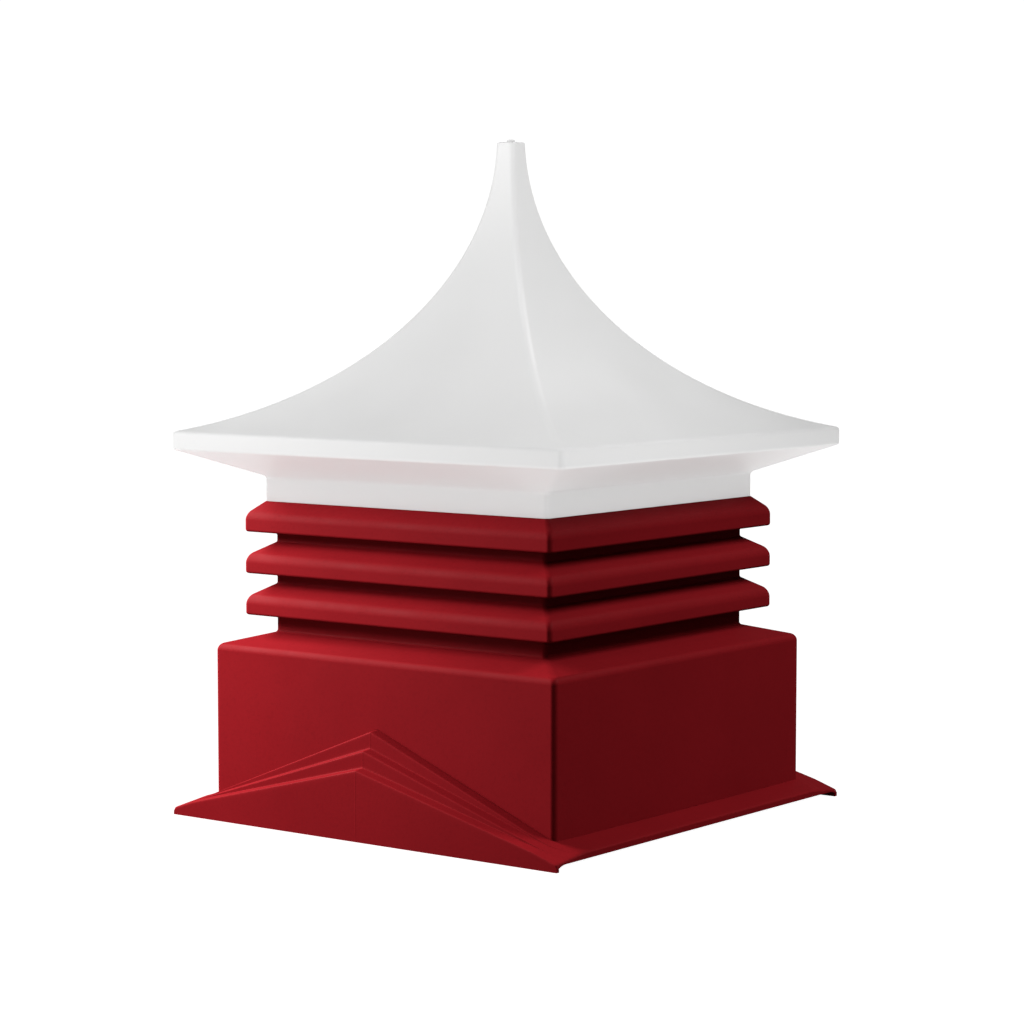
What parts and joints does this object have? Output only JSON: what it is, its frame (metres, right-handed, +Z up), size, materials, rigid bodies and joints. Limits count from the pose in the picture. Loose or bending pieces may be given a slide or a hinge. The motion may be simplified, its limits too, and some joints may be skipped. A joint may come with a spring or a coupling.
{
  "type": "moulded plastic ridge cupola for a shed or barn roof",
  "caption": "Two-piece moulded ridge cupola: a deep red louvred base with pitch steps under a pale swept square roof.",
  "frame": {"origin": "middle of the footprint, on the level of the base's feet", "axes": "+Z up to the spire; the roof ridge it straddles runs along Y, so the pitch steps are on the -Y and +Y faces and the eave flanges on -X and +X"},
  "size_m": [0.56, 0.568, 0.7803],
  "materials": {
    "red_moulding": "satin",
    "pale_moulding": "satin"
  },
  "bodies": {
    "root": {"gable_apron_front": "red_moulding", "gable_apron_back": "red_moulding", "gable_step_middle_front": "red_moulding", "gable_step_middle_back": "red_moulding", "gable_step_upper_front": "red_moulding", "gable_step_upper_back": "red_moulding", "eave_flange_left": "red_moulding", "eave_flange_right": "red_moulding", "box_wall_front": "red_moulding", "box_wall_back": "red_moulding", "box_wall_left": "red_moulding", "box_wall_right": "red_moulding", "box_shoulder": "red_moulding", "neck_band_low": "red_moulding", "neck_band_middle": "red_moulding", "neck_band_high": "red_moulding", "neck_spigot": "red_moulding", "louvre_low_front": "red_moulding", "louvre_low_back": "red_moulding", "louvre_low_left": "red_moulding", "louvre_low_right": "red_moulding", "louvre_middle_front": "red_moulding", "louvre_middle_back": "red_moulding", "louvre_middle_left": "red_moulding", "louvre_middle_right": "red_moulding", "louvre_high_front": "red_moulding", "louvre_high_back": "red_moulding", "louvre_high_left": "red_moulding", "louvre_high_right": "red_moulding", "roof_collar": "pale_moulding", "soffit_front": "pale_moulding", "soffit_back": "pale_moulding", "soffit_left": "pale_moulding", "soffit_right": "pale_moulding", "fascia_front": "pale_moulding", "fascia_back": "pale_moulding", "fascia_left": "pale_moulding", "fascia_right": "pale_moulding", "roof_slope_front": "pale_moulding", "roof_slope_back": "pale_moulding", "roof_slope_left": "pale_moulding", "roof_slope_right": "pale_moulding", "spire_cap": "pale_moulding", "finial_boss": "pale_moulding"}
  },
  "joints": []
}
